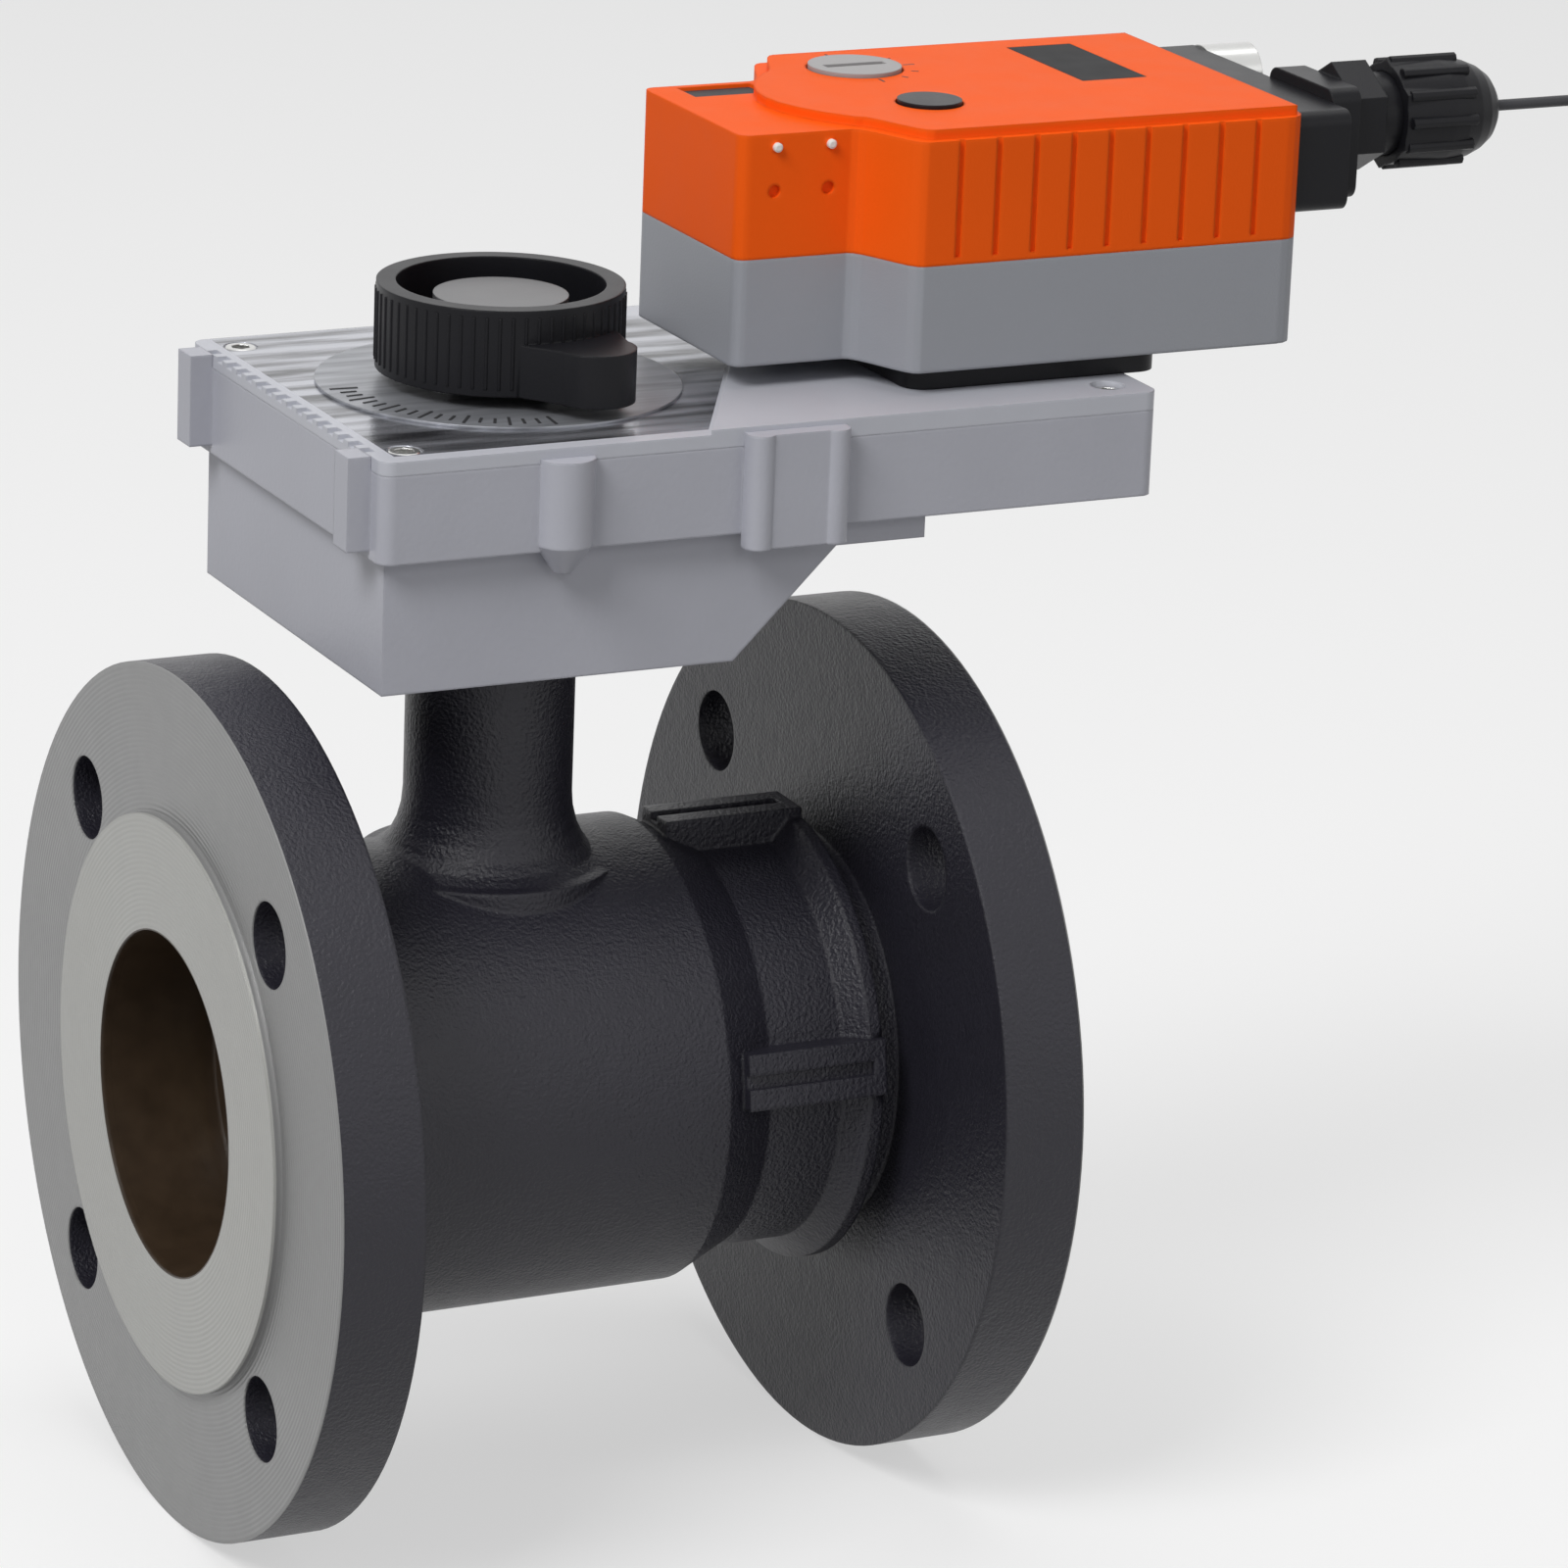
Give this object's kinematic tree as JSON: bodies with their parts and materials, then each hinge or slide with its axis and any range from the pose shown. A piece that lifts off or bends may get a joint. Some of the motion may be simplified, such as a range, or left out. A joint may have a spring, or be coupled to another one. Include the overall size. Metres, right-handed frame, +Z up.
{
  "type": "proportional control valve",
  "caption": "Flanged two-way ball control valve with a reduction gear housing, position indicator and electric actuator with a cable gland and lead.",
  "frame": {"origin": "centre of the inlet flange's sealing face, on the pipe's axis", "axes": "+X along the pipe to the outlet, +Z up along the stem, -Y to the side with the large boss"},
  "size_m": [0.3936, 0.1903, 0.3015],
  "materials": {
    "cast_iron": "painted cast iron, machined faces bare",
    "brass": "machined brass",
    "bronze": "bearing bronze",
    "steel": "machined steel",
    "seat_plastic": "white sealing plastic",
    "rubber": "black rubber",
    "housing_grey": "light grey painted die casting",
    "scale_print": "printed angle scale",
    "black_plastic": "black moulded plastic",
    "case_grey": "mid grey moulded plastic",
    "case_orange": "bright orange moulded plastic",
    "dial_white": "light moulded plastic",
    "window_black": "smoked window",
    "board_green": "coated circuit board",
    "lead_sheath": "dark grey sheath",
    "copper": "bare stranded copper"
  },
  "bodies": {
    "valve": {"valve_body": "cast_iron", "tail_piece": "cast_iron", "tail_seal": "rubber", "control_disc": "steel", "inlet_seat": "seat_plastic", "outlet_seat": "seat_plastic", "thrust_washer": "seat_plastic", "lower_bush": "bronze", "stem_seals": "rubber", "upper_bush": "bronze", "gland_ring": "steel", "gear_housing": "housing_grey", "mounting_nut": "steel", "housing_cover": "housing_grey", "cover_screws": "steel", "idler_pin": "steel", "drive_bush": "bronze", "scale_plate": "scale_print", "adapter_plate": "black_plastic", "adapter_screws": "steel", "actuator_base": "case_grey", "case_screws": "steel", "gear_plate": "steel", "plate_screws": "steel", "motor": "steel", "circuit_board": "board_green", "actuator_cover": "case_orange", "button_spring": "steel", "display_window": "window_black", "terminal_box": "black_plastic", "terminal_block": "board_green", "blanking_plug": "case_grey", "gland_base": "black_plastic", "gland_seal": "rubber", "gland_nut": "black_plastic", "lead": "lead_sheath", "lead_coil": "lead_sheath", "lead_tie": "black_plastic", "lead_cores": "copper"},
    "rotor": {"ball": "brass", "stem": "steel", "stem_gear": "steel", "indicator": "black_plastic", "spindle_disc": "steel"},
    "idler": {"idler_gear": "steel"},
    "drive": {"drive_shaft": "steel", "actuator_gear": "seat_plastic"},
    "motor_rotor": {"motor_pinion": "brass"},
    "button": {"release_button": "black_plastic"},
    "dial": {"direction_dial": "dial_white"}
  },
  "joints": [
    {"name": "stem_turn", "type": "hinge", "parent": "valve", "child": "rotor", "pos_m": [0.072, 0, 0.05], "axis": [0, 0, -1], "range_deg": [0, 90]},
    {"name": "idler_turn", "type": "hinge", "parent": "valve", "child": "idler", "pos_m": [0.1215, 0, 0.14], "axis": [0, 0, -1], "range_deg": [-335, 0]},
    {"name": "drive_turn", "type": "hinge", "parent": "valve", "child": "drive", "pos_m": [0.163, 0, 0.14], "axis": [0, 0, -1], "range_deg": [0, 1054]},
    {"name": "motor_turn", "type": "hinge", "parent": "valve", "child": "motor_rotor", "pos_m": [0.193, 0, 0.165], "axis": [0, 0, -1], "range_deg": [-4213, 0]},
    {"name": "button_press", "type": "slide", "parent": "valve", "child": "button", "axis": [0, 0, -1], "range_m": [0, 0.0025], "stiffness_N_per_m": 300, "springref_m": -0.002, "deforming": ["button_spring"]},
    {"name": "dial_turn", "type": "hinge", "parent": "valve", "child": "dial", "pos_m": [0.162, 0.021, 0.205], "axis": [0, 0, 1], "range_deg": [0, 90]}
  ],
  "couplings": [
    {"joint": "idler_turn", "follows": "stem_turn", "ratio": -3.7143},
    {"joint": "drive_turn", "follows": "stem_turn", "ratio": 11.7},
    {"joint": "motor_turn", "follows": "stem_turn", "ratio": -46.8}
  ]
}
